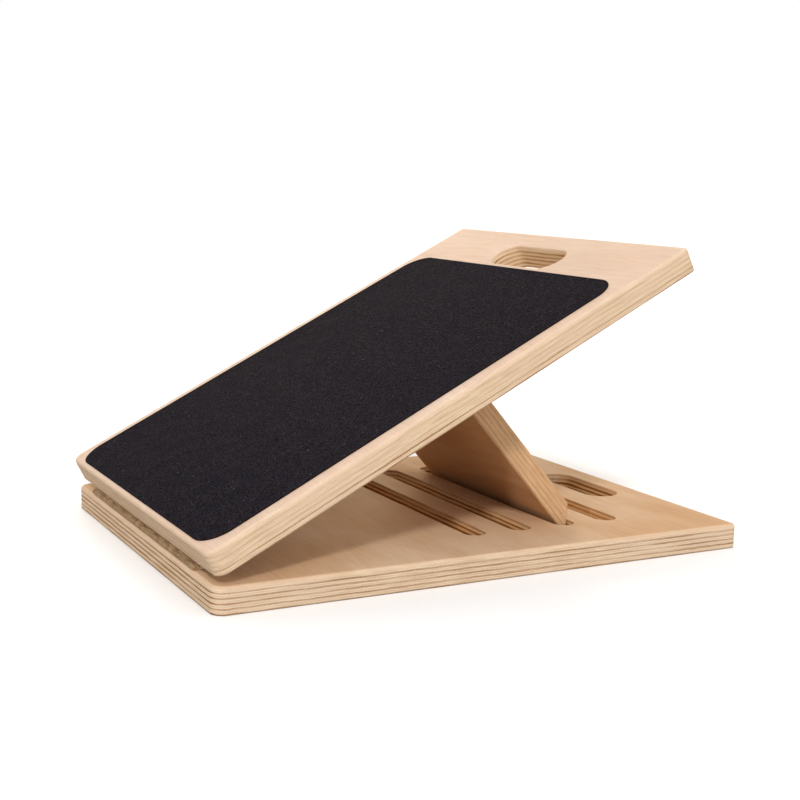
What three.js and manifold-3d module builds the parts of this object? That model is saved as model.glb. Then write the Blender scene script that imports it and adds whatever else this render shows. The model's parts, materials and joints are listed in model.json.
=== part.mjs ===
// Folding slant board for calf and ankle stretches, in three plywood boards.
//
// Lengths are millimetres and angles are degrees. X runs along the hinges, Y from the front edge to the
// back and Z up. The origin is the centre of the base board's underside.
//
// The top board turns on a piano hinge along the front edge. The support board turns on a second hinge
// under the top board, and its foot stands in one of four grooves in the base.

import * as THREE from 'three';
import { mergeVertices } from 'three/addons/utils/BufferGeometryUtils.js';
import Module from 'manifold-3d';

const wasm = await Module();
wasm.setup();

const X_AXIS = new THREE.Vector3(1, 0, 0);
const Y_AXIS = new THREE.Vector3(0, 1, 0);
const Z_AXIS = new THREE.Vector3(0, 0, 1);
const BEHIND = Math.PI / 2;
const CORNER_STEPS = 4;

// Boards.
const PLY = 18;
const BOARD_WIDTH = 300;
const BASE_LENGTH = 400;
const TOP_LENGTH = 389;
const FRONT_CORNER = 9;
const BACK_CORNER = 2;
const TILT = 27.4;

// Hand holes, each across the board near its back edge.
const HANDLE_LENGTH = 82;
const HANDLE_WIDTH = 26;
const BASE_HANDLE_Y = 166.5;
const TOP_HANDLE_FROM_FRONT = 354;

// Grooves for the support board's foot, front to back. The foot stands in the third.
const GROOVE_COUNT = 4;
const GROOVE_IN_USE = 2;
const GROOVE_PITCH = 37;
const FIRST_GROOVE_Y = 9.6;
const GROOVE_LENGTH = 211;
const GROOVE_WIDTH = 16.5;
const GROOVE_DEPTH = 9;

// Grip pad, an abrasive sheet stuck on the top board.
const PAD_THICKNESS = 0.8;
const PAD_CORNER = 20;
const PAD_SIDE_MARGIN = 10.8;
const PAD_FRONT_MARGIN = 3.8;
const PAD_BACK_MARGIN = 53.8;

// Support board.
const SUPPORT_WIDTH = 185;
const SUPPORT_THICKNESS = 16.5;
const SUPPORT_SLOPE = 48.8;
const SUPPORT_END_GAP = 0.4;
const FOOT_BACK_GAP = 0.4;
const FOOT_FLOOR_GAP = 0.3;
const FOOT_RELIEF = 2;

// Hinges. In a hinge's own frame the axis is X, and a leaf lies behind the axis and below it.
const KNUCKLE_RADIUS = 1.75;
const KNUCKLE_BORE = 1.05;
const KNUCKLE_SPACE = 0.2;
const KNUCKLE_STEPS = 8;
const PIN_RADIUS = 0.96;
const LEAF_THICKNESS = 0.7;
const LEAF_WIDTH = 15;
const LEAF_NOTCH = 2.1;
const SEAT_GAP = 0.1;
const FRONT_HINGE = { length: 222, knuckles: 19, screws: [-90, -45, 0, 45, 90] };
const SUPPORT_HINGE = { length: 151, knuckles: 13, screws: [-60, -20, 20, 60] };
const AXIS_TO_FACE = KNUCKLE_RADIUS + SEAT_GAP;
const FRONT_AXIS_Y = 2 - BASE_LENGTH / 2;
const FRONT_AXIS_Z = PLY + AXIS_TO_FACE;
const TOP_SET_BACK = 2.4;
const SUPPORT_AXIS_Y = 233.2;

// Countersunk screws, one row in each leaf.
const SCREW_ROW = 8.8;
const SCREW_LENGTH = 12;
const SCREW_TIP = 2.5;
const SCREW_STEPS = 16;
const SHANK_RADIUS = 1.3;
const HEAD_RADIUS = 2.8;
const HEAD_RIM = 0.2;
const RECESS_LENGTH = 3;
const RECESS_WIDTH = 0.7;
const RECESS_DEPTH = 1;
const SCREW_CLEARANCE = 0.15;

function radians(degrees) {
  return THREE.MathUtils.degToRad(degrees);
}

function birch() {
  return new THREE.MeshStandardMaterial({ color: 0xe6cdb0, roughness: 0.6, metalness: 0 });
}

function grip() {
  return new THREE.MeshStandardMaterial({ color: 0x2b2a31, roughness: 0.95, metalness: 0 });
}

function steel() {
  return new THREE.MeshStandardMaterial({ color: 0xb9b2a6, roughness: 0.35, metalness: 1 });
}

// A closed geometry as a solid that can be cut and joined.
function solid(geometry) {
  const shell = geometry.clone();
  shell.deleteAttribute('normal');
  shell.deleteAttribute('uv');
  const merged = mergeVertices(shell);
  const corners = merged.index.array;
  const faces = [];
  for (let i = 0; i < corners.length; i += 3) {
    const [a, b, c] = corners.slice(i, i + 3);
    if (a !== b && b !== c && c !== a) faces.push(a, b, c);
  }
  const mesh = new wasm.Mesh({
    numProp: 3,
    vertProperties: merged.attributes.position.array,
    triVerts: new Uint32Array(faces),
  });
  return new wasm.Manifold(mesh);
}

function geometryOf(body) {
  const mesh = body.getMesh();
  const geometry = new THREE.BufferGeometry();
  geometry.setAttribute('position', new THREE.BufferAttribute(mesh.vertProperties, 3));
  geometry.setIndex(new THREE.BufferAttribute(mesh.triVerts, 1));
  geometry.computeVertexNormals();
  return geometry;
}

function cut(geometry, tools) {
  return geometryOf(tools.reduce((body, tool) => body.subtract(solid(tool)), solid(geometry)));
}

function join(geometries) {
  return geometryOf(geometries.map(solid).reduce((whole, piece) => whole.add(piece)));
}

function named(name, geometry, material) {
  const mesh = new THREE.Mesh(geometry, material);
  mesh.name = name;
  return mesh;
}

// A flat plate standing on the height given.
function plate(shape, thickness, bottom) {
  const options = { depth: thickness, bevelEnabled: false, curveSegments: CORNER_STEPS };
  return new THREE.ExtrudeGeometry(shape, options).translate(0, 0, bottom);
}

// A Y-Z outline carried along X, centred on the Y-Z plane.
function alongX(shape, length, steps) {
  const options = { depth: length, bevelEnabled: false, curveSegments: steps };
  const turn = new THREE.Matrix4().makeBasis(Y_AXIS, Z_AXIS, X_AXIS);
  return new THREE.ExtrudeGeometry(shape, options).translate(0, 0, -length / 2).applyMatrix4(turn);
}

function quarter(path, x, y, radius, turns) {
  path.absarc(x, y, radius, turns * BEHIND, (turns + 1) * BEHIND);
}

function boardOutline(front, length) {
  const side = BOARD_WIDTH / 2;
  const back = front + length;
  const outline = new THREE.Shape();
  quarter(outline, side - FRONT_CORNER, front + FRONT_CORNER, FRONT_CORNER, -1);
  quarter(outline, side - BACK_CORNER, back - BACK_CORNER, BACK_CORNER, 0);
  quarter(outline, BACK_CORNER - side, back - BACK_CORNER, BACK_CORNER, 1);
  quarter(outline, FRONT_CORNER - side, front + FRONT_CORNER, FRONT_CORNER, 2);
  return outline;
}

function roundEnded(outline, y, length, width) {
  const radius = width / 2;
  const straight = length / 2 - radius;
  quarter(outline, straight, y, radius, -1);
  quarter(outline, straight, y, radius, 0);
  quarter(outline, -straight, y, radius, 1);
  quarter(outline, -straight, y, radius, 2);
  return outline;
}

function boardWithHandle(front, length, handleY, bottom) {
  const outline = boardOutline(front, length);
  outline.holes.push(roundEnded(new THREE.Path(), handleY, HANDLE_LENGTH, HANDLE_WIDTH));
  return plate(outline, PLY, bottom);
}

function grooveY(index) {
  return FIRST_GROOVE_Y + index * GROOVE_PITCH;
}

function groove(index) {
  const outline = roundEnded(new THREE.Shape(), grooveY(index), GROOVE_LENGTH, GROOVE_WIDTH);
  return plate(outline, 2 * GROOVE_DEPTH, PLY - GROOVE_DEPTH);
}

// A countersunk screw's profile turned about Z, its head flush with the height 0 and its point below.
function screwBody(clearance) {
  const headHeight = HEAD_RIM + HEAD_RADIUS - SHANK_RADIUS;
  const profile = [
    new THREE.Vector2(0, -SCREW_LENGTH - clearance),
    new THREE.Vector2(SHANK_RADIUS + clearance, SCREW_TIP - SCREW_LENGTH - clearance),
    new THREE.Vector2(SHANK_RADIUS + clearance, -headHeight - clearance),
    new THREE.Vector2(HEAD_RADIUS + clearance, -HEAD_RIM - clearance),
    new THREE.Vector2(HEAD_RADIUS + clearance, clearance),
    new THREE.Vector2(0, clearance),
  ];
  return new THREE.LatheGeometry(profile, SCREW_STEPS).rotateX(BEHIND);
}

function screw() {
  const slot = new THREE.BoxGeometry(RECESS_LENGTH, RECESS_WIDTH, 2 * RECESS_DEPTH);
  return cut(screwBody(0), [slot, slot.clone().rotateZ(BEHIND)]);
}

// The row of holes that one leaf's screws need, for a hinge axis at the place given. A leaf on the
// underside of a board has its screws pointing up.
function screwHoles(hinge, y, z, upward) {
  const height = LEAF_THICKNESS - KNUCKLE_RADIUS;
  return hinge.screws.map((x) => {
    const hole = screwBody(SCREW_CLEARANCE).translate(x, SCREW_ROW, height);
    if (upward) hole.rotateY(Math.PI);
    return hole.translate(0, y, z);
  });
}

function knuckle(from, to) {
  const ring = new THREE.Shape();
  ring.absarc(0, 0, KNUCKLE_RADIUS, 0, 2 * Math.PI);
  const bore = new THREE.Path();
  bore.absarc(0, 0, KNUCKLE_BORE, 0, 2 * Math.PI);
  ring.holes.push(bore);
  return alongX(ring, to - from, KNUCKLE_STEPS).translate((from + to) / 2, 0, 0);
}

// A leaf and its own knuckles, every second one from the first given. Notches clear the other leaf's.
function leafBody(hinge, first) {
  const half = hinge.length / 2;
  const pitch = hinge.length / hinge.knuckles;
  const outline = new THREE.Shape();
  outline.moveTo(half, LEAF_WIDTH);
  outline.lineTo(-half, LEAF_WIDTH);
  outline.lineTo(-half, LEAF_NOTCH);
  const rings = [];
  for (let index = first; index < hinge.knuckles; index += 2) {
    const from = index * pitch - half + KNUCKLE_SPACE;
    const to = from + pitch - 2 * KNUCKLE_SPACE;
    outline.lineTo(from, LEAF_NOTCH);
    outline.lineTo(from, 0);
    outline.lineTo(to, 0);
    outline.lineTo(to, LEAF_NOTCH);
    rings.push(knuckle(from, to));
  }
  outline.lineTo(half, LEAF_NOTCH);
  const whole = join([plate(outline, LEAF_THICKNESS, -KNUCKLE_RADIUS), ...rings]);
  return cut(whole, screwHoles(hinge, 0, 0, false));
}

function leafWithScrews(name, hinge, first) {
  const group = new THREE.Group();
  group.add(named(name, leafBody(hinge, first), steel()));
  hinge.screws.forEach((x, index) => {
    const fastener = named(`${name}_screw_${index + 1}`, screw(), steel());
    fastener.position.set(x, SCREW_ROW, LEAF_THICKNESS - KNUCKLE_RADIUS);
    group.add(fastener);
  });
  return group;
}

// A leaf for the underside of a board is the same leaf turned over.
function turnedOver(group) {
  group.rotation.y = Math.PI;
  return group;
}

function hingePin(name, hinge) {
  const round = new THREE.Shape();
  round.absarc(0, 0, PIN_RADIUS, 0, 2 * Math.PI);
  return named(name, alongX(round, hinge.length - 2 * KNUCKLE_SPACE, KNUCKLE_STEPS), steel());
}

function baseBoard() {
  const blank = boardWithHandle(-BASE_LENGTH / 2, BASE_LENGTH, BASE_HANDLE_Y, 0);
  const grooves = Array.from({ length: GROOVE_COUNT }, (_, index) => groove(index));
  const holes = screwHoles(FRONT_HINGE, FRONT_AXIS_Y, FRONT_AXIS_Z, false);
  return named('base_board', cut(blank, [...grooves, ...holes]), birch());
}

// The top board in its hinge's frame, where it lies flat behind the axis and above it.
function topBoard() {
  const handleY = TOP_SET_BACK + TOP_HANDLE_FROM_FRONT;
  const blank = boardWithHandle(TOP_SET_BACK, TOP_LENGTH, handleY, AXIS_TO_FACE);
  const frontHoles = screwHoles(FRONT_HINGE, 0, 0, true);
  const supportHoles = screwHoles(SUPPORT_HINGE, SUPPORT_AXIS_Y, 0, true);
  return named('top_board', cut(blank, [...frontHoles, ...supportHoles]), birch());
}

function gripPad() {
  const side = BOARD_WIDTH / 2 - PAD_SIDE_MARGIN - PAD_CORNER;
  const front = TOP_SET_BACK + PAD_FRONT_MARGIN + PAD_CORNER;
  const back = TOP_SET_BACK + TOP_LENGTH - PAD_BACK_MARGIN - PAD_CORNER;
  const outline = new THREE.Shape();
  quarter(outline, side, front, PAD_CORNER, -1);
  quarter(outline, side, back, PAD_CORNER, 0);
  quarter(outline, -side, back, PAD_CORNER, 1);
  quarter(outline, -side, front, PAD_CORNER, 2);
  return named('grip_pad', plate(outline, PAD_THICKNESS, AXIS_TO_FACE + PLY + SEAT_GAP), grip());
}

// The support board's outline in its hinge's frame: its back face lies below the axis, and its foot is
// along Y. The end by the hinge is cut to meet the top board's underside, and the foot is cut upright to
// meet the groove's back wall, with a relief that lets it lift out.
function supportOutline() {
  const open = radians(TILT + SUPPORT_SLOPE);
  const slope = radians(SUPPORT_SLOPE);
  const axisY = FRONT_AXIS_Y + SUPPORT_AXIS_Y * Math.cos(radians(TILT));
  const axisZ = FRONT_AXIS_Z + SUPPORT_AXIS_Y * Math.sin(radians(TILT));
  const backFace = -AXIS_TO_FACE;
  const frontFace = backFace - SUPPORT_THICKNESS;
  const endHeight = AXIS_TO_FACE - SUPPORT_END_GAP;
  const wall = grooveY(GROOVE_IN_USE) + GROOVE_WIDTH / 2 - FOOT_BACK_GAP;
  const floor = PLY - GROOVE_DEPTH + FOOT_FLOOR_GAP;

  const end = (face) => new THREE.Vector2((face * Math.cos(open) - endHeight) / Math.sin(open), face);
  const standing = (y, z) => new THREE.Vector2(y - axisY, z - axisZ).rotateAround(new THREE.Vector2(), slope);
  const kink = (wall - axisY - backFace * Math.sin(slope)) / Math.cos(slope);
  const toe = (axisZ - floor + frontFace * Math.cos(slope)) / Math.sin(slope);
  return new THREE.Shape([
    end(backFace),
    end(frontFace),
    new THREE.Vector2(toe, frontFace),
    standing(wall - FOOT_RELIEF, floor),
    standing(wall, PLY),
    new THREE.Vector2(kink, backFace),
  ]);
}

function supportBoard() {
  const blank = alongX(supportOutline(), SUPPORT_WIDTH, 1);
  return named('support_board', cut(blank, screwHoles(SUPPORT_HINGE, 0, 0, false)), birch());
}

function supportAssembly() {
  const group = new THREE.Group();
  group.add(supportBoard());
  group.add(leafWithScrews('support_hinge_support_leaf', SUPPORT_HINGE, 0));
  group.add(hingePin('support_hinge_pin', SUPPORT_HINGE));
  group.position.set(0, SUPPORT_AXIS_Y, 0);
  group.rotation.x = -radians(TILT + SUPPORT_SLOPE);
  return group;
}

function topAssembly() {
  const supportLeaf = turnedOver(leafWithScrews('support_hinge_board_leaf', SUPPORT_HINGE, 1));
  supportLeaf.position.set(0, SUPPORT_AXIS_Y, 0);
  const group = new THREE.Group();
  group.add(topBoard());
  group.add(gripPad());
  group.add(turnedOver(leafWithScrews('front_hinge_top_leaf', FRONT_HINGE, 1)));
  group.add(supportLeaf);
  group.add(supportAssembly());
  group.position.set(0, FRONT_AXIS_Y, FRONT_AXIS_Z);
  group.rotation.x = radians(TILT);
  return group;
}

function baseAssembly() {
  const hinge = new THREE.Group();
  hinge.add(leafWithScrews('front_hinge_base_leaf', FRONT_HINGE, 0));
  hinge.add(hingePin('front_hinge_pin', FRONT_HINGE));
  hinge.position.set(0, FRONT_AXIS_Y, FRONT_AXIS_Z);
  const group = new THREE.Group();
  group.add(baseBoard());
  group.add(hinge);
  return group;
}

const slantBoard = new THREE.Group();
slantBoard.name = 'slant_board';
slantBoard.add(baseAssembly());
slantBoard.add(topAssembly());

export default slantBoard;
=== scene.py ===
import json
import math

import bmesh
import bpy
from mathutils import Matrix, Vector
from mathutils.geometry import convex_hull_2d


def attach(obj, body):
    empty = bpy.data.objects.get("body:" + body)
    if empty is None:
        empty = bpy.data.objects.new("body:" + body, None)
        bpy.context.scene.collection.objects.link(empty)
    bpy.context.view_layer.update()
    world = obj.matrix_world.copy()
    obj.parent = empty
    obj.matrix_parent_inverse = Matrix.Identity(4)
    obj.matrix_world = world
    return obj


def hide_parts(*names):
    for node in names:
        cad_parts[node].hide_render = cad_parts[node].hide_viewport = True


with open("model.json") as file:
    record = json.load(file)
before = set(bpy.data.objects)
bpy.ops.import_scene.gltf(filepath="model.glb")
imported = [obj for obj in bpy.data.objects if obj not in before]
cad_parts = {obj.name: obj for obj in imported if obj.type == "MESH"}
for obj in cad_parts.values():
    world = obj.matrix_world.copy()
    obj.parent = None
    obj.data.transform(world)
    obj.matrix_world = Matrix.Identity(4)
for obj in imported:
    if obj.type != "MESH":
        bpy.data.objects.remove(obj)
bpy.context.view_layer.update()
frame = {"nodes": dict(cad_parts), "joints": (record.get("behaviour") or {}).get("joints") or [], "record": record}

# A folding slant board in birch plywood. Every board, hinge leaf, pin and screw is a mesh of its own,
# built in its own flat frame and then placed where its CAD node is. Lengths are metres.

MM = 0.001

# Camera, at the photograph's viewing angle.
CAMERA_PLACE = Vector((0.8846, -0.4741, 0.2591))
CAMERA_TARGET = Vector((-0.00122, 0.00196, 0.0959))
CAMERA_ROLL = math.radians(1.454)
CAMERA_LENS_MM = 61.68
CAMERA_SENSOR_MM = 36

# Boards.
FRONT_CORNER = 9 * MM
BACK_CORNER = 3.6 * MM
EASE = 2.8 * MM
HAND_HOLE = (82 * MM, 26 * MM)
HAND_HOLE_EASE = 2.4 * MM
HAND_HOLE_UNDERSIDE_EASE = 0.4 * MM
UNDERSIDE_EASE = 1 * MM
GROOVE = (211 * MM, 16.5 * MM)
GROOVE_DEPTH = 9 * MM
GROOVE_EASE = 0.7 * MM
GROOVE_FILLET = 0.6 * MM
SUPPORT_SLOPE = math.radians(48.8)
SUPPORT_EASE = 1 * MM
PAD_CORNER = 20 * MM
PAD_EASE = 0.3 * MM
PAD_UNDERSIDE_EASE = 0.1 * MM

# Hinges. In a hinge's own frame the axis is X, and a leaf lies behind the axis and below it.
KNUCKLE_RADIUS = 1.75 * MM
LEAF_THICKNESS = 0.7 * MM
LEAF_WIDTH = 15 * MM
LEAF_NOTCH = 2.1 * MM
LEAF_CORNER = 0.5 * MM
LEAF_EASE = 0.12 * MM
KNUCKLE_SPACE = 0.2 * MM
CURL_END = math.radians(-20)
PIN_RADIUS = 0.96 * MM
PIN_DOME = 0.35 * MM
PIN_DOME_STEP = 0.12 * MM
PIN_FLAT_SHARE = 0.75
FRONT_HINGE = {"knuckles": 19, "screws": [-90, -45, 0, 45, 90]}
SUPPORT_HINGE = {"knuckles": 13, "screws": [-60, -20, 20, 60]}

# Countersunk screws with a cross recess and a real thread.
SCREW_ROW = 8.8 * MM
SCREW_LENGTH = 12 * MM
SCREW_TIP = 2.5 * MM
SHANK_RADIUS = 1.3 * MM
THREAD_DEPTH = 0.32 * MM
THREAD_PITCH = 1.1 * MM
HEAD_RADIUS = 2.8 * MM
HEAD_RIM = 0.2 * MM
HEAD_EASE = 0.1 * MM
RECESS_REACH = 1.5 * MM
RECESS_WIDTH = 0.7 * MM
RECESS_DEPTH = 1 * MM
SCREW_CLEARANCE = 0.12 * MM

# Mesh fineness.
CORNER_STEPS = 12
END_STEPS = 24
EASE_STEPS = 6
GUARD = 0.15 * MM
SCREW_SIDES = 24
CURL_STEPS = 24
SHARP_ANGLE = math.radians(38)
SHORTEST_SIDE = 0.05 * MM
LEAST_TURN = math.radians(2)

# The light on a face that looks up, where 1 makes a white surface just full white.
STUDIO_LIGHT = 1.25

# The room's glow at the horizon and overhead, and the floor's shade for bounced light and for the camera.
HORIZON_GLOW = 0.25
OVERHEAD_GLOW = 1.08
FLOOR_BOUNCE = (0.48, 0.48, 0.48, 1)
FLOOR_SEEN = (0.96, 0.96, 0.96, 1)

# Lamps: name, the direction they stand in, how wide they look in degrees, strength and colour.
WHITE_LIGHT = (1.0, 1.0, 1.0)
WARM_LIGHT = (1.0, 0.8, 0.52)
LAMPS = [
    ("front_lamp", (1.92, -3, 1), 5, 0.18, WHITE_LIGHT),
    ("key_lamp", (1, -0.6, 1), 7, 0.38, WHITE_LIGHT),
    ("side_lamp", (1, -0.15, 0.22), 40, 0.22, WHITE_LIGHT),
    ("far_lamp", (-1, 0.3, 0.34), 24, 0.46, WARM_LIGHT),
]

# Plywood. One ply pitch is a pale ply and a darker one, counted from the board's lower face. The
# openings lie between OPENINGS_START, from the front edge, and OPENINGS_END, from the back edge.
PLY_PITCH = 3.3 * MM
FIRST_DARK_PLY = 0.6 * MM
FACE_PLY = 1.7 * MM
OPENINGS_REACH = 120 * MM
OPENINGS_START = (14 * MM, 18 * MM)
OPENINGS_END = (12 * MM, 8 * MM)
FACE_FADE = 0.3 * MM
REACH_FADE = 2 * MM
LOW_PLIES = (4.6 * MM, 5.4 * MM)
PLY_DRIFT = 1.2 * MM
PLY_RIPPLE = 0.7 * MM
# Painted shade: the base's veneer, figure and cloud are warmer and more saturated than the top's, for the warm
# shade under the top board; both boards are one birch.
BASE_LOOK = {
    "veneer": (238, 208, 176),
    "figure": (225, 190, 155),
    "cloud": (219, 172, 126),
    "edge_tint": (255, 254, 250),
    "front_lines": 1.25,
    "side_lines": 0.75,
    "low_side_lines": 0.8,
    # Painted shade: the colours of opening walls and their ply lines, browner than the edges.
    "wall": (254, 212, 158),
    "painted_shade_wall_lines": (168, 112, 56),
}
TOP_LOOK = {
    "veneer": (239, 213, 192),
    "figure": (228, 200, 178),
    "cloud": (236, 204, 180),
    "edge_tint": (255, 252, 246),
    "front_lines": 0.4,
    "side_lines": 0.22,
    "low_side_lines": 0.75,
    # Painted shade: the colours of opening walls and their ply lines, browner than the edges.
    "wall": (255, 230, 190),
    "painted_shade_wall_lines": (206, 152, 100),
}
# Painted shade: the support's veneer, figure, cloud and edge tint are browner than the top's, for the shade under
# the top board; it is the same birch.
SUPPORT_LOOK = {
    "veneer": (234, 190, 146),
    "figure": (214, 166, 120),
    "cloud": (220, 172, 124),
    "edge_tint": (240, 220, 196),
    "front_lines": 0.6,
    "side_lines": 0.4,
    "low_side_lines": 0.6,
    # Painted shade: the colours of opening walls and their ply lines, browner than the edges.
    "wall": (254, 212, 158),
    "painted_shade_wall_lines": (168, 112, 56),
}


def make_camera():
    camera = bpy.data.objects.new("camera", bpy.data.cameras.new("camera"))
    bpy.context.scene.collection.objects.link(camera)
    camera.data.lens = CAMERA_LENS_MM
    camera.data.sensor_width = CAMERA_SENSOR_MM
    camera.data.clip_start = 0.01
    aim = (CAMERA_TARGET - CAMERA_PLACE).to_track_quat("-Z", "Y").to_matrix().to_4x4()
    camera.matrix_world = Matrix.Translation(CAMERA_PLACE) @ aim @ Matrix.Rotation(CAMERA_ROLL, 4, "Z")
    bpy.context.scene.camera = camera


# ---------------------------------------------------------------- materials


class Nodes:
    """A node tree written as nested calls: each method returns the new node's output socket."""

    def __init__(self, tree):
        self.tree = tree

    def add(self, kind, inputs=None, output=0, **settings):
        node = self.tree.nodes.new(kind)
        for key, value in settings.items():
            setattr(node, key, value)
        for key, value in (inputs or {}).items():
            if isinstance(value, bpy.types.NodeSocket):
                self.tree.links.new(value, node.inputs[key])
            else:
                node.inputs[key].default_value = value
        return node.outputs[output]

    def math(self, operation, a, b=0.0, c=0.0):
        return self.add("ShaderNodeMath", {0: a, 1: b, 2: c}, operation=operation)

    def noise(self, vector, scale, detail=3.0, roughness=0.55, distortion=0.0):
        inputs = {
            "Vector": vector,
            "Scale": scale,
            "Detail": detail,
            "Roughness": roughness,
            "Distortion": distortion,
        }
        return self.add("ShaderNodeTexNoise", inputs)

    def ramp(self, value, low, high, start=0.0, end=1.0, smooth=True):
        inputs = {"Value": value, "From Min": low, "From Max": high, "To Min": start, "To Max": end}
        kind = "SMOOTHSTEP" if smooth else "LINEAR"
        return self.add("ShaderNodeMapRange", inputs, interpolation_type=kind)

    def mix(self, share, a, b):
        inputs = {"Factor": share, 6: a, 7: b}
        return self.add("ShaderNodeMix", inputs, output=2, data_type="RGBA")

    def multiply(self, share, a, b):
        inputs = {"Factor": share, 6: a, 7: b}
        return self.add("ShaderNodeMix", inputs, output=2, data_type="RGBA", blend_type="MULTIPLY")

    def scaled(self, vector, x, y, z, shift=0.0):
        inputs = {"Vector": vector, "Location": (shift, 2 * shift, 3 * shift), "Scale": (x, y, z)}
        return self.add("ShaderNodeMapping", inputs)

    def bump(self, height, strength, distance, normal=None):
        inputs = {"Height": height, "Strength": strength, "Distance": distance}
        if normal is not None:
            inputs["Normal"] = normal
        return self.add("ShaderNodeBump", inputs)


def new_material(name):
    """A material with its Principled shader and a node writer. Coordinates are the piece's own."""
    material = bpy.data.materials.new(name)
    material.use_nodes = True
    shader = material.node_tree.nodes["Principled BSDF"]
    return material, shader, Nodes(material.node_tree)


def connect(nodes, shader, **sockets):
    for name, value in sockets.items():
        nodes.tree.links.new(value, shader.inputs[name.replace("_", " ")])


def srgb(red, green, blue, light=1.0):
    """A colour given as 0 to 255 screen values, in the linear form that shaders take.
    Where light is given, the values are what the surface looks like under that much light."""

    def linear(value):
        share = value / 255
        return (share / 12.92 if share <= 0.04045 else ((share + 0.055) / 1.055) ** 2.4) / light

    return (linear(red), linear(green), linear(blue), 1.0)


def wood(red, green, blue):
    return srgb(red, green, blue, STUDIO_LIGHT)


def plywood(name, size, seed, look, openings_reach=0.0):
    """Birch plywood. The plies are counted through the board's thickness, so they show on every edge,
    in the hand hole and in the grooves; the two faces show veneer with its grain across the board.
    Painted shade: the walls of openings, which lie within openings_reach of the middle, are browner than the
    edges, with wider and stronger dark plies, and less so where they face sideways."""
    material, shader, n = new_material(name)
    place = n.add("ShaderNodeTexCoord", output=3)
    facing = n.add("ShaderNodeTexCoord", output=1)
    split = n.tree.nodes.new("ShaderNodeSeparateXYZ")
    n.tree.links.new(place, split.inputs[0])
    toward = n.tree.nodes.new("ShaderNodeSeparateXYZ")
    n.tree.links.new(facing, toward.inputs[0])
    upright = n.math("ABSOLUTE", toward.outputs[2])
    sideways = n.math("ABSOLUTE", toward.outputs[0])

    # Where the surface is: on an edge, in the face veneer, inside an opening.
    on_edge = n.ramp(upright, 0.9, 0.985, 1.0, 0.0)
    across = n.math("ABSOLUTE", split.outputs[0])
    inside = n.ramp(across, openings_reach - REACH_FADE, openings_reach, 1.0, 0.0)
    inside = n.math("MULTIPLY", inside, n.ramp(split.outputs[1], *OPENINGS_START))
    last = n.ramp(split.outputs[1], size.y - OPENINGS_END[0], size.y - OPENINGS_END[1], 1.0, 0.0)
    inside = n.math("MULTIPLY", inside, last)
    face_bottom = size.z - FACE_PLY
    below_face = n.ramp(split.outputs[2], face_bottom - FACE_FADE, face_bottom, 1.0, 0.0)
    plies = n.math("MULTIPLY", n.math("MAXIMUM", below_face, inside), on_edge)
    cut = n.math("MULTIPLY", n.math("MAXIMUM", below_face, 0.55), on_edge)
    # Painted shade: opening walls are browner, less so where they face sideways into the key lamp's light.
    painted_wall_shade = n.math("MULTIPLY", inside, n.ramp(sideways, 0.4, 0.95, 1.0, 0.3))

    # The plies, a little wavy along the board.
    drift = n.noise(n.scaled(place, 1, 1, 0.2, seed), 14, 2)
    ripple = n.noise(n.scaled(place, 1, 1, 2, seed + 3), 150, 2)
    shift = n.math("MULTIPLY_ADD", drift, PLY_DRIFT, -PLY_DRIFT / 2)
    shift = n.math("MULTIPLY_ADD", ripple, PLY_RIPPLE, shift)
    height = n.math("ADD", split.outputs[2], shift)
    height = n.math("SUBTRACT", height, PLY_RIPPLE / 2)
    count = n.math("DIVIDE", n.math("SUBTRACT", height, FIRST_DARK_PLY), PLY_PITCH)
    from_dark = n.math("PINGPONG", count, 0.5)
    breadth = n.noise(n.scaled(place, 1, 1, 14, seed + 4), 12, 2)
    breadth = n.ramp(breadth, 0.3, 0.7, -0.04, 0.04)
    # Painted shade: the dark plies are wider inside openings.
    breadth = n.math("MULTIPLY_ADD", inside, -0.1, breadth)
    dark = n.ramp(n.math("ADD", from_dark, breadth), 0.08, 0.26, 1.0, 0.0)
    fine = n.ramp(from_dark, 0.43, 0.485, 0.0, 0.45)
    strength = n.noise(n.scaled(place, 1, 1, 18, seed + 5), 22, 2)
    strength = n.ramp(strength, 0.34, 0.66, 0.55, 1.25)
    low_side = n.ramp(height, *LOW_PLIES, look["low_side_lines"], look["side_lines"])
    to_side = n.ramp(sideways, 0.2, 0.8)
    contrast = n.add("ShaderNodeMix", {"Factor": to_side, 2: look["front_lines"], 3: low_side})
    # Painted shade: ply lines at full strength inside openings.
    contrast = n.math("MAXIMUM", contrast, inside)
    lines = n.math("MULTIPLY", n.math("MAXIMUM", dark, fine), plies)
    lines = n.math("MULTIPLY", n.math("MULTIPLY", lines, strength), contrast)

    # Wood fibres: along each ply on the edges, and across the board on the faces.
    streak = n.noise(n.scaled(place, 0.05, 0.05, 1, seed + 7), 1100, 3, 0.6)
    pores = n.noise(n.scaled(place, 1, 1, 0.6, seed + 9), 900, 2, 0.7)
    grain = n.noise(n.scaled(place, 0.09, 1, 0.2, seed + 11), 330, 5, 0.7, 0.4)
    figure = n.noise(n.scaled(place, 0.3, 1, 0.2, seed + 13), 26, 4, 0.55, 0.8)
    cloud = n.noise(n.scaled(place, 1, 1, 1, seed + 15), 9, 2)
    dash = n.noise(n.scaled(place, 0.05, 1, 0.2, seed + 17), 900, 2, 0.6)
    dash = n.ramp(dash, 0.62, 0.72, 0.0, 1.0)

    face = n.mix(n.ramp(figure, 0.3, 0.7), wood(*look["veneer"]), wood(*look["figure"]))
    face = n.mix(n.ramp(cloud, 0.35, 0.7, 0.0, 0.6), face, wood(*look["cloud"]))
    face = n.multiply(n.ramp(grain, 0.3, 0.7, 0.0, 0.25), face, srgb(230, 208, 186))
    face = n.multiply(n.math("MULTIPLY", dash, 0.2), face, srgb(205, 172, 140))

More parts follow.
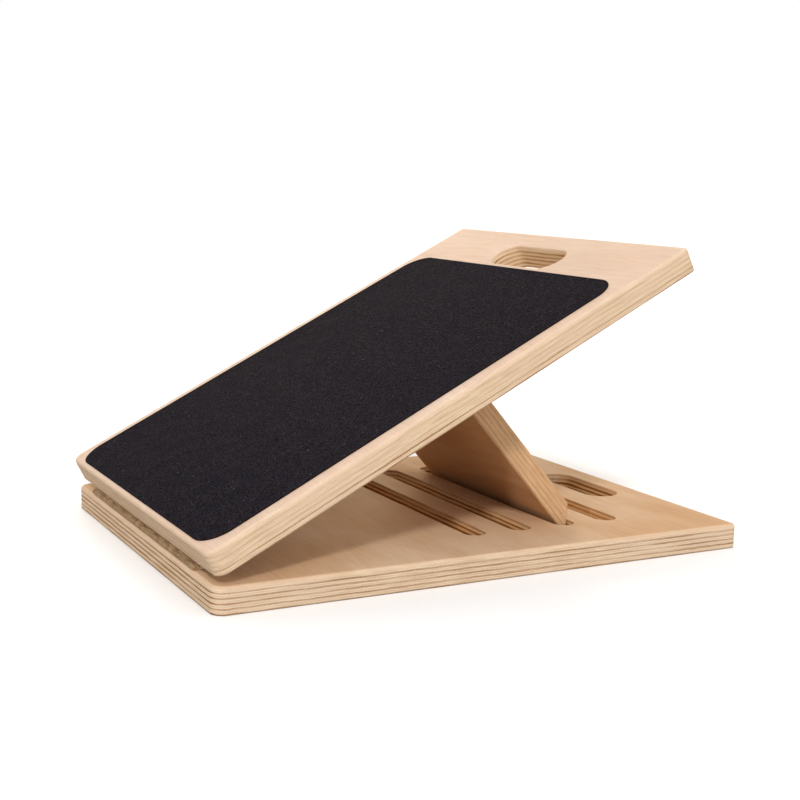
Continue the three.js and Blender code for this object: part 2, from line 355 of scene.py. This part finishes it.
    pale = n.mix(n.ramp(streak, 0.3, 0.7), wood(252, 226, 196), wood(228, 198, 168))
    pale = n.mix(n.ramp(cloud, 0.35, 0.7, 0.0, 0.5), pale, wood(244, 216, 190))
    pale = n.multiply(1.0, pale, srgb(*look["edge_tint"]))
    pale = n.mix(painted_wall_shade, pale, wood(*look["wall"]))
    brown = n.mix(n.ramp(pores, 0.3, 0.7), wood(184, 138, 94), wood(154, 110, 70))
    brown = n.mix(painted_wall_shade, brown, wood(*look["painted_shade_wall_lines"]))
    edge = n.mix(n.math("MULTIPLY", lines, 0.92), pale, brown)
    edge = n.multiply(n.ramp(pores, 0.55, 0.75, 0.0, 0.3), edge, srgb(214, 184, 152))
    colour = n.mix(cut, face, edge)

    rough = n.ramp(grain, 0.2, 0.8, 0.46, 0.6)
    rough = n.math("MULTIPLY_ADD", lines, 0.12, rough)
    relief = n.math("MULTIPLY_ADD", lines, -0.7, n.math("MULTIPLY", grain, 0.3))
    relief = n.math("MULTIPLY_ADD", pores, 0.25, relief)
    relief = n.math("MULTIPLY_ADD", dash, -0.3, relief)
    shader.inputs["Specular IOR Level"].default_value = 0.01
    connect(n, shader, Base_Color=colour, Roughness=rough, Normal=n.bump(relief, 0.5, 0.12 * MM))
    return material


def grip_sheet(name):
    """Black mineral grit on a thin backing whose cut edge is dark brown."""
    material, shader, n = new_material(name)
    place = n.add("ShaderNodeTexCoord", output=3)
    facing = n.add("ShaderNodeTexCoord", output=1)
    toward = n.tree.nodes.new("ShaderNodeSeparateXYZ")
    n.tree.links.new(facing, toward.inputs[0])
    grit = n.add("ShaderNodeTexVoronoi", {"Vector": place, "Scale": 1900.0, "Randomness": 1.0})
    fine = n.noise(place, 2600, 2, 0.7)
    speck = n.noise(n.scaled(place, 1, 1, 1, 4), 860, 2, 0.7)
    patch = n.noise(n.scaled(place, 1, 1, 1, 8), 60, 3, 0.6)
    glint = n.ramp(n.noise(n.scaled(place, 1, 1, 1, 12), 560, 0), 0.83, 0.86)
    colour = n.mix(n.ramp(speck, 0.38, 0.62), srgb(2, 2, 4), srgb(42, 38, 46))
    colour = n.mix(n.ramp(patch, 0.35, 0.65, 0.0, 0.35), colour, srgb(14, 14, 28))
    colour = n.mix(n.math("MULTIPLY", glint, 0.3), colour, srgb(120, 120, 126))
    backing = n.ramp(toward.outputs[2], 0.55, 0.9, 1.0, 0.0)
    colour = n.mix(backing, colour, srgb(40, 25, 18))
    height = n.math("MULTIPLY_ADD", fine, 0.5, n.math("MULTIPLY", grit, -0.9))
    rough = n.ramp(speck, 0.2, 0.8, 0.82, 0.98)
    shader.inputs["Specular IOR Level"].default_value = 0.02
    connect(n, shader, Base_Color=colour, Roughness=rough, Normal=n.bump(height, 0.8, 0.25 * MM))
    return material


def hinge_steel(name):
    """Nickel-plated rolled strip, with fine rolling marks along the hinge and a few dull patches. Its tan colour
    is a painted reflection of the birch around it.
    """
    material, shader, n = new_material(name)
    place = n.add("ShaderNodeTexCoord", output=3)
    rolled = n.noise(n.scaled(place, 0.03, 1, 1), 1400, 3, 0.6)
    dull = n.noise(n.scaled(place, 1, 1, 1, 5), 95, 3, 0.6)
    pits = n.ramp(n.noise(n.scaled(place, 1, 1, 1, 9), 1500, 1), 0.68, 0.76)
    # Painted reflection: the tan of the birch around the strip, on nickel.
    colour = n.mix(n.ramp(dull, 0.35, 0.7), srgb(190, 158, 120), srgb(152, 122, 88))
    colour = n.multiply(n.math("MULTIPLY", pits, 0.5), colour, srgb(150, 132, 112))
    rough = n.ramp(dull, 0.25, 0.75, 0.4, 0.58)
    rough = n.math("MULTIPLY_ADD", rolled, 0.1, rough)
    height = n.math("MULTIPLY_ADD", pits, -0.6, rolled)
    shader.inputs["Metallic"].default_value = 0.75
    connect(n, shader, Base_Color=colour, Roughness=rough, Normal=n.bump(height, 0.35, 0.03 * MM))
    return material


def screw_steel(name):
    """Zinc-plated screw steel: turning rings round the head, and painted shade in the recess."""
    material, shader, n = new_material(name)
    place = n.add("ShaderNodeTexCoord", output=3)
    split = n.tree.nodes.new("ShaderNodeSeparateXYZ")
    n.tree.links.new(place, split.inputs[0])
    flat = n.add("ShaderNodeCombineXYZ", {0: split.outputs[0], 1: split.outputs[1]})
    radius = n.add("ShaderNodeVectorMath", {0: flat}, output=1, operation="LENGTH")
    rings = n.math("SINE", n.math("MULTIPLY", radius, 24000.0))
    stain = n.noise(n.scaled(place, 1, 1, 1, 3), 700, 3, 0.6)
    colour = n.mix(n.ramp(stain, 0.35, 0.7), srgb(206, 203, 197), srgb(172, 168, 160))
    # Painted shade: darker and browner down in the cross recess.
    painted_recess_shade = n.ramp(split.outputs[2], -0.6 * MM, -0.1 * MM, 0.55, 0.0)
    colour = n.multiply(painted_recess_shade, colour, srgb(120, 108, 92))
    rough = n.ramp(stain, 0.25, 0.75, 0.25, 0.42)
    shader.inputs["Metallic"].default_value = 1.0
    connect(n, shader, Base_Color=colour, Roughness=rough, Normal=n.bump(rings, 0.2, 0.01 * MM))
    return material


# ---------------------------------------------------------------- shapes


def corner(x, y, radius, start, end, steps=CORNER_STEPS):
    """One rounded corner: its centre, its radius and the angles between which its arc runs."""
    return {"at": (x, y), "radius": radius, "start": start, "end": end, "steps": steps}


def ring(outline, grow, z):
    """The outline as points at one height, moved outward by grow."""
    points = []
    for c in outline:
        for k in range(c["steps"] + 1):
            angle = c["start"] + (c["end"] - c["start"]) * k / c["steps"]
            reach = c["radius"] + grow
            points.append((c["at"][0] + reach * math.cos(angle), c["at"][1] + reach * math.sin(angle), z))
    return points


def rounded_rectangle(width, front, back, front_radius, back_radius):
    side = width / 2
    quarter = math.pi / 2
    return [
        corner(side - front_radius, front + front_radius, front_radius, -quarter, 0),
        corner(side - back_radius, back - back_radius, back_radius, 0, quarter),
        corner(back_radius - side, back - back_radius, back_radius, quarter, 2 * quarter),
        corner(front_radius - side, front + front_radius, front_radius, 2 * quarter, 3 * quarter),
    ]


def round_ended(y, length, width):
    reach = (length - width) / 2
    half = math.pi / 2
    return [
        corner(reach, y, width / 2, -half, half, END_STEPS),
        corner(-reach, y, width / 2, half, 3 * half, END_STEPS),
    ]


def circle(x, y, radius, sides=SCREW_SIDES):
    return [corner(x, y, radius, 0, 2 * math.pi * (sides - 1) / sides, sides - 1)]


def rounded_polygon(points, radius, steps=EASE_STEPS):
    """A convex polygon, its points anticlockwise, with every corner rounded."""
    outline = []
    for i, point in enumerate(points):
        before = (point - points[i - 1]).normalized()
        after = (points[(i + 1) % len(points)] - point).normalized()
        normals = [Vector((before.y, -before.x)), Vector((after.y, -after.x))]
        centre = point - (normals[0] + normals[1]) * radius / (1 + normals[0].dot(normals[1]))
        start = math.atan2(normals[0].y, normals[0].x)
        end = start + before.angle(after)
        outline.append(corner(centre.x, centre.y, radius, start, end, steps))
    return outline


def quarter_round(radius, z, down):
    """An eased edge as (how far in from the wall, height), from the flat face to the wall."""
    points = [(radius + GUARD, z)]
    for k in range(EASE_STEPS + 1):
        angle = math.pi / 2 * k / EASE_STEPS
        drop = radius * (1 - math.cos(angle))
        points.append((radius * (1 - math.sin(angle)), z - drop if down else z + drop))
    points.append((0, z - radius - GUARD if down else z + radius + GUARD))
    return points


def through_profile(bottom, top, bottom_ease, top_ease):
    return quarter_round(top_ease, top, True) + quarter_round(bottom_ease, bottom, False)[::-1]


def pocket_profile(floor, top, ease, fillet):
    """A pocket's wall: eased at its rim, and with a fillet where it meets the floor."""
    points = quarter_round(ease, top, True)
    points.append((0, floor + fillet + GUARD))
    for k in range(EASE_STEPS + 1):
        angle = math.pi / 2 * k / EASE_STEPS
        points.append((-fillet * (1 - math.cos(angle)), floor + fillet * (1 - math.sin(angle))))
    points.append((-fillet - GUARD, floor))
    return points


class Shell:
    """A closed mesh built from rings of points, bands between them and flat fills."""

    def __init__(self):
        self.mesh = bmesh.new()

    def ring(self, points):
        return [self.mesh.verts.new(point) for point in points]

    def band(self, a, b):
        for i in range(len(a)):
            j = (i + 1) % len(a)
            self.mesh.faces.new((a[i], a[j], b[j], b[i]))

    def bands(self, rings):
        for a, b in zip(rings, rings[1:]):
            self.band(a, b)

    def fill(self, rings):
        edges = []
        for r in rings:
            for i in range(len(r)):
                pair = (r[i], r[(i + 1) % len(r)])
                edges.append(self.mesh.edges.get(pair) or self.mesh.edges.new(pair))
        bmesh.ops.triangle_fill(self.mesh, use_beauty=True, use_dissolve=False, edges=edges)

    def plate(self, outline, profile, holes=(), pockets=()):
        """A plate with its edge profile, holes right through it and pockets in its upper face."""
        outer = [self.ring(ring(outline, -inward, z)) for inward, z in profile]
        self.bands(outer)
        upper = [outer[0]]
        lower = [outer[-1]]
        for shape, wall in holes:
            rings = [self.ring(ring(shape, outward, z)) for outward, z in wall]
            self.bands(rings)
            upper.append(rings[0])
            lower.append(rings[-1])
        for shape, wall in pockets:
            rings = [self.ring(ring(shape, outward, z)) for outward, z in wall]
            self.bands(rings)
            upper.append(rings[0])
            self.mesh.faces.new(rings[-1])
        self.fill(upper)
        self.fill(lower)

    def piece(self, name, place, body, material, slot, *nodes):
        """The finished object, in its place on its body, standing for its CAD nodes."""
        bmesh.ops.remove_doubles(self.mesh, verts=self.mesh.verts, dist=1e-7)
        bmesh.ops.recalc_face_normals(self.mesh, faces=self.mesh.faces)
        for face in self.mesh.faces:
            face.smooth = True
        for edge in self.mesh.edges:
            edge.smooth = edge.calc_face_angle(0) < SHARP_ANGLE
        data = bpy.data.meshes.new(name)
        self.mesh.to_mesh(data)
        self.mesh.free()
        data.materials.append(material)
        made = bpy.data.objects.new(name, data)
        bpy.context.scene.collection.objects.link(made)
        made.matrix_world = place
        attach(made, body)
        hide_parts(*nodes)
        return made


# ---------------------------------------------------------------- places

JOINTS = {joint["name"]: Vector(joint["pos_m"]) for joint in frame["joints"]}
FRONT_AXIS = JOINTS["board_tilt"]
SUPPORT_AXIS = JOINTS["support_fold"]
ALONG_TOP = SUPPORT_AXIS - FRONT_AXIS
TILT = math.atan2(ALONG_TOP.z, ALONG_TOP.y)
TURNED_OVER = Matrix.Rotation(math.pi, 4, "Y")
BASE_FRAME = Matrix.Identity(4)
TOP_FRAME = Matrix.Translation(FRONT_AXIS) @ Matrix.Rotation(TILT, 4, "X")
SUPPORT_FRAME = Matrix.Translation(SUPPORT_AXIS) @ Matrix.Rotation(-SUPPORT_SLOPE, 4, "X")
OPENINGS = {o["name"]: o["box_m"] for o in frame["record"]["physics"]["openings"]}

# Stands a shape that was built upwards along the hinge: its Z becomes X, its X becomes Y, its Y becomes Z.
ALONG_HINGE = Matrix(((0, 0, 1, 0), (1, 0, 0, 0), (0, 1, 0, 0), (0, 0, 0, 1)))


def cad_points(node, place):
    """A CAD node's points in the frame given."""
    inward = place.inverted()
    return [inward @ vertex.co for vertex in frame["nodes"][node].data.vertices]


def flat_place(node, body_frame):
    """Where a board's own frame is, and its size.
    X runs across the board, Y from its front edge and Z from its underside."""
    points = cad_points(node, body_frame)
    low = Vector([min(p[k] for p in points) for k in range(3)])
    high = Vector([max(p[k] for p in points) for k in range(3)])
    return body_frame @ Matrix.Translation((0, low.y, low.z)), high - low


def opening_y(name, place):
    """The middle of a stated opening, as a Y value in the frame given."""
    low, high = OPENINGS[name]
    return (place.inverted() @ ((Vector(low) + Vector(high)) / 2)).y


def hand_hole(y, thickness):
    return round_ended(y, *HAND_HOLE), through_profile(0, thickness, HAND_HOLE_UNDERSIDE_EASE, HAND_HOLE_EASE)


# ---------------------------------------------------------------- pieces


def base_board():
    place, size = flat_place("base_board", BASE_FRAME)
    outline = rounded_rectangle(size.x, 0, size.y, FRONT_CORNER, BACK_CORNER)
    wall = pocket_profile(size.z - GROOVE_DEPTH, size.z, GROOVE_EASE, GROOVE_FILLET)
    first, second, fourth = (opening_y(f"{name}_groove", place) for name in ("first", "second", "fourth"))
    grooves = [(round_ended(y, *GROOVE), wall) for y in (first, second, (second + fourth) / 2, fourth)]
    holes = [hand_hole(opening_y("base_hand_hole", place), size.z)]
    shell = Shell()
    shell.plate(outline, through_profile(0, size.z, UNDERSIDE_EASE, EASE), holes, grooves)
    material = plywood("base_birch", size, 0.0, BASE_LOOK, OPENINGS_REACH)
    shell.piece("base", place, "base", material, "birch_plywood", "base_board")


def top_board():
    place, size = flat_place("top_board", TOP_FRAME)
    outline = rounded_rectangle(size.x, 0, size.y, FRONT_CORNER, BACK_CORNER)
    holes = [hand_hole(opening_y("top_hand_hole", place), size.z)]
    shell = Shell()
    shell.plate(outline, through_profile(0, size.z, UNDERSIDE_EASE, EASE), holes)
    material = plywood("top_birch", size, 1.7, TOP_LOOK, OPENINGS_REACH)
    shell.piece("top", place, "top", material, "birch_plywood", "top_board")


def support_board():
    """The support's slanting cut ends come from its CAD outline, seen along the hinge."""
    place, size = flat_place("support_board", SUPPORT_FRAME)
    flat = [Vector((p.y, p.z)) for p in cad_points("support_board", place)]
    hull = [flat[i] for i in convex_hull_2d(flat)]
    outline = rounded_polygon(plain_corners(hull), SUPPORT_EASE)
    shell = Shell()
    shell.plate(outline, through_profile(-size.x / 2, size.x / 2, SUPPORT_EASE, SUPPORT_EASE))
    shell.mesh.transform(ALONG_HINGE)
    material = plywood("support_birch", size, 3.1, SUPPORT_LOOK)
    shell.piece("support", place, "support", material, "birch_plywood", "support_board")


def plain_corners(points):
    """Only the points where a polygon really turns."""
    kept = []
    for i, point in enumerate(points):
        before = point - points[i - 1]
        after = points[(i + 1) % len(points)] - point
        if before.length > SHORTEST_SIDE and after.length > SHORTEST_SIDE:
            if before.angle(after) > LEAST_TURN:
                kept.append(point)
    return kept


def grip_pad():
    place, size = flat_place("grip_pad", TOP_FRAME)
    outline = rounded_rectangle(size.x, 0, size.y, PAD_CORNER, PAD_CORNER)
    shell = Shell()
    shell.plate(outline, through_profile(0, size.z, PAD_UNDERSIDE_EASE, PAD_EASE))
    shell.piece("pad", place, "top", grip_sheet("grit"), "grip_sheet", "grip_pad")


def leaf_plate(shell, length, screws):
    """The flat of a leaf, from its notches back, with a countersunk hole for each screw."""
    top = LEAF_THICKNESS - KNUCKLE_RADIUS
    outline = rounded_rectangle(length, LEAF_NOTCH, LEAF_WIDTH, LEAF_EASE + GUARD, LEAF_CORNER)
    edge = [
        (LEAF_EASE, top),
        (0, top - LEAF_EASE),
        (0, LEAF_EASE - KNUCKLE_RADIUS),
        (LEAF_EASE, -KNUCKLE_RADIUS),
    ]
    rim = HEAD_RADIUS + SCREW_CLEARANCE
    sink = [(0, top), (0, top - HEAD_RIM), (HEAD_RIM - LEAF_THICKNESS, -KNUCKLE_RADIUS)]
    holes = [(circle(x * MM, SCREW_ROW, rim), sink) for x in screws]
    shell.plate(outline, edge, holes)


def knuckle(shell, start, end):
    """Strip rolled round the pin: a curl that starts under the axis and closes on the leaf."""
    inner = KNUCKLE_RADIUS - LEAF_THICKNESS
    turn = -math.pi / 2
    sweep = CURL_END - turn - 2 * math.pi
    angles = [turn + sweep * k / CURL_STEPS for k in range(CURL_STEPS + 1)]
    curl = [(KNUCKLE_RADIUS * math.cos(a), KNUCKLE_RADIUS * math.sin(a)) for a in angles]
    curl += [(inner * math.cos(a), inner * math.sin(a)) for a in reversed(angles)]
    section = [(LEAF_NOTCH, -KNUCKLE_RADIUS)] + curl + [(LEAF_NOTCH, LEAF_THICKNESS - KNUCKLE_RADIUS)]
    ends = [shell.ring([(x, y, z) for y, z in section]) for x in (start, end)]
    shell.band(*ends)
    for side in ends:
        shell.fill([side])


def hinge_leaf(name, hinge, first, place, body, material):
    box = cad_points(name, place)
    length = 2 * max(p.x for p in box)
    pitch = length / hinge["knuckles"]
    shell = Shell()
    leaf_plate(shell, length, hinge["screws"])
    for index in range(first, hinge["knuckles"], 2):
        start = index * pitch - length / 2 + KNUCKLE_SPACE
        knuckle(shell, start, start + pitch - 2 * KNUCKLE_SPACE)
    shell.piece(name.replace("_leaf", "_rolled_leaf"), place, body, material, "hinge_steel", name)


def hinge_pin(name, place, body, material):
    half = max(p.x for p in cad_points(name, place))
    shell = Shell()
    profile = [(PIN_RADIUS * PIN_FLAT_SHARE, half), (PIN_DOME, half - PIN_DOME_STEP), (0, half - PIN_DOME)]
    profile += [(inward, -x) for inward, x in reversed(profile)]
    shell.plate(circle(0, 0, PIN_RADIUS), profile)
    shell.mesh.transform(ALONG_HINGE)
    shell.piece(f"{name}_rod", place, body, material, "hinge_steel", name)


def thread_ring(z, radius):
    """One turn of the shank at height z, its radius raised where the thread passes."""
    points = []
    for k in range(SCREW_SIDES):
        share = k / SCREW_SIDES
        phase = (z / THREAD_PITCH + share) % 1
        crest = max(0.0, 1 - abs(phase - 0.5) * 4)
        reach = radius + THREAD_DEPTH * crest * min(1.0, radius / SHANK_RADIUS)
        angle = 2 * math.pi * share
        points.append((reach * math.cos(angle), reach * math.sin(angle), z))
    return points


def cross_outline(reach, half, z):
    """A cross recess's outline, anticlockwise from the arm along X."""
    points = []
    for turn in range(4):
        angle = turn * math.pi / 2
        along = Vector((math.cos(angle), math.sin(angle)))
        left = Vector((-along.y, along.x))
        for a, b in ((reach, -half), (reach, half), (half, half)):
            points.append((*(along * a + left * b), z))
    return points


def screw_mesh():
    """A countersunk wood screw, its head flush with height 0 and its point below."""
    shell = Shell()
    neck = HEAD_RIM + HEAD_RADIUS - SHANK_RADIUS
    core = SHANK_RADIUS - THREAD_DEPTH
    head = circle(0, 0, HEAD_RADIUS)
    rings = [
        ring(head, -HEAD_EASE, 0),
        ring(head, 0, -HEAD_EASE),
        ring(head, 0, -HEAD_RIM),
        ring(head, core - HEAD_RADIUS, -neck),
    ]
    step = THREAD_PITCH / 6
    z = -neck - step
    while z > SCREW_TIP - SCREW_LENGTH:
        rings.append(thread_ring(z, core))
        z -= step
    for share in (0.8, 0.55, 0.3, 0.08):
        rings.append(thread_ring(-SCREW_LENGTH + SCREW_TIP * share, core * share))
    outer = [shell.ring(points) for points in rings]
    shell.bands(outer)
    shell.mesh.faces.new(outer[-1])
    recess = [
        shell.ring(cross_outline(RECESS_REACH, RECESS_WIDTH / 2, 0)),
        shell.ring(cross_outline(RECESS_REACH * 0.6, RECESS_WIDTH * 0.4, -RECESS_DEPTH)),
    ]
    shell.bands(recess)
    shell.fill([outer[0], recess[0]])
    shell.fill([recess[1]])
    return shell


def screws(leaf, hinge, place, body, material):
    """The screws of one leaf, each turned to its own angle."""
    height = LEAF_THICKNESS - KNUCKLE_RADIUS
    for index, x in enumerate(hinge["screws"]):
        turn = math.radians((37 * index + 11 * len(leaf)) % 90)
        own = place @ Matrix.Translation((x * MM, SCREW_ROW, height)) @ Matrix.Rotation(turn, 4, "Z")
        node = f"{leaf}_screw_{index + 1}"
        screw_mesh().piece(f"{node}_countersunk", own, body, material, "screw_steel", node)


def hinges():
    strip = hinge_steel("nickel_strip")
    zinc = screw_steel("zinc_screw")
    front = Matrix.Translation(FRONT_AXIS)
    under_top = TOP_FRAME @ Matrix.Translation((0, ALONG_TOP.length, 0)) @ TURNED_OVER
    leaves = [
        ("front_hinge_base_leaf", FRONT_HINGE, 0, front, "base"),
        ("front_hinge_top_leaf", FRONT_HINGE, 1, TOP_FRAME @ TURNED_OVER, "top"),
        ("support_hinge_board_leaf", SUPPORT_HINGE, 1, under_top, "top"),
        ("support_hinge_support_leaf", SUPPORT_HINGE, 0, SUPPORT_FRAME, "support"),
    ]
    for name, hinge, first, place, body in leaves:
        hinge_leaf(name, hinge, first, place, body, strip)
        screws(name, hinge, place, body, zinc)
    hinge_pin("front_hinge_pin", front, "base", strip)
    hinge_pin("support_hinge_pin", SUPPORT_FRAME, "support", strip)


# ---------------------------------------------------------------- stage


def floor():
    shell = bmesh.new()
    bmesh.ops.create_grid(shell, x_segments=4, y_segments=4, size=12)
    data = bpy.data.meshes.new("floor")
    shell.to_mesh(data)
    shell.free()
    made = bpy.data.objects.new("floor", data)
    bpy.context.scene.collection.objects.link(made)
    material, shader, n = new_material("paper")
    seen = n.add("ShaderNodeLightPath", output=0)
    shade = n.mix(seen, FLOOR_BOUNCE, FLOOR_SEEN)
    connect(n, shader, Base_Color=shade)
    shader.inputs["Roughness"].default_value = 0.9
    shader.inputs["Specular IOR Level"].default_value = 0.1
    data.materials.append(material)


def sun(name, toward, spread, strength, colour):
    """Parallel light from the direction given; spread is how wide its source looks, in degrees."""
    light = bpy.data.objects.new(name, bpy.data.lights.new(name, "SUN"))
    bpy.context.scene.collection.objects.link(light)
    light.data.angle = math.radians(spread)
    light.data.energy = strength * math.pi
    light.data.color = colour
    light.rotation_euler = Vector(toward).to_track_quat("Z", "Y").to_euler()


def studio():
    """A white room that is brighter overhead than at the horizon. White lamps stand in front, high at
    the right and low at the right, and a warm one stands low at the left."""
    world = bpy.data.worlds.new("studio")
    bpy.context.scene.world = world
    world.use_nodes = True
    tree = world.node_tree
    tree.nodes.clear()
    n = Nodes(tree)
    direction = n.add("ShaderNodeTexCoord", output=0)
    split = n.tree.nodes.new("ShaderNodeSeparateXYZ")
    tree.links.new(direction, split.inputs[0])
    glow = n.ramp(split.outputs[2], 0.0, 1.0, HORIZON_GLOW, OVERHEAD_GLOW, False)
    seen = n.add("ShaderNodeLightPath", output=0)
    strength = n.add("ShaderNodeMix", {"Factor": seen, 2: glow, 3: 1.0}, output=0, data_type="FLOAT")
    room = n.add("ShaderNodeBackground", {"Color": (1, 1, 1, 1), "Strength": strength})
    tree.links.new(room, tree.nodes.new("ShaderNodeOutputWorld").inputs[0])
    for lamp in LAMPS:
        sun(*lamp)
    bpy.context.scene.view_settings.view_transform = "Standard"


make_camera()
floor()
studio()
base_board()
top_board()
support_board()
grip_pad()
hinges()
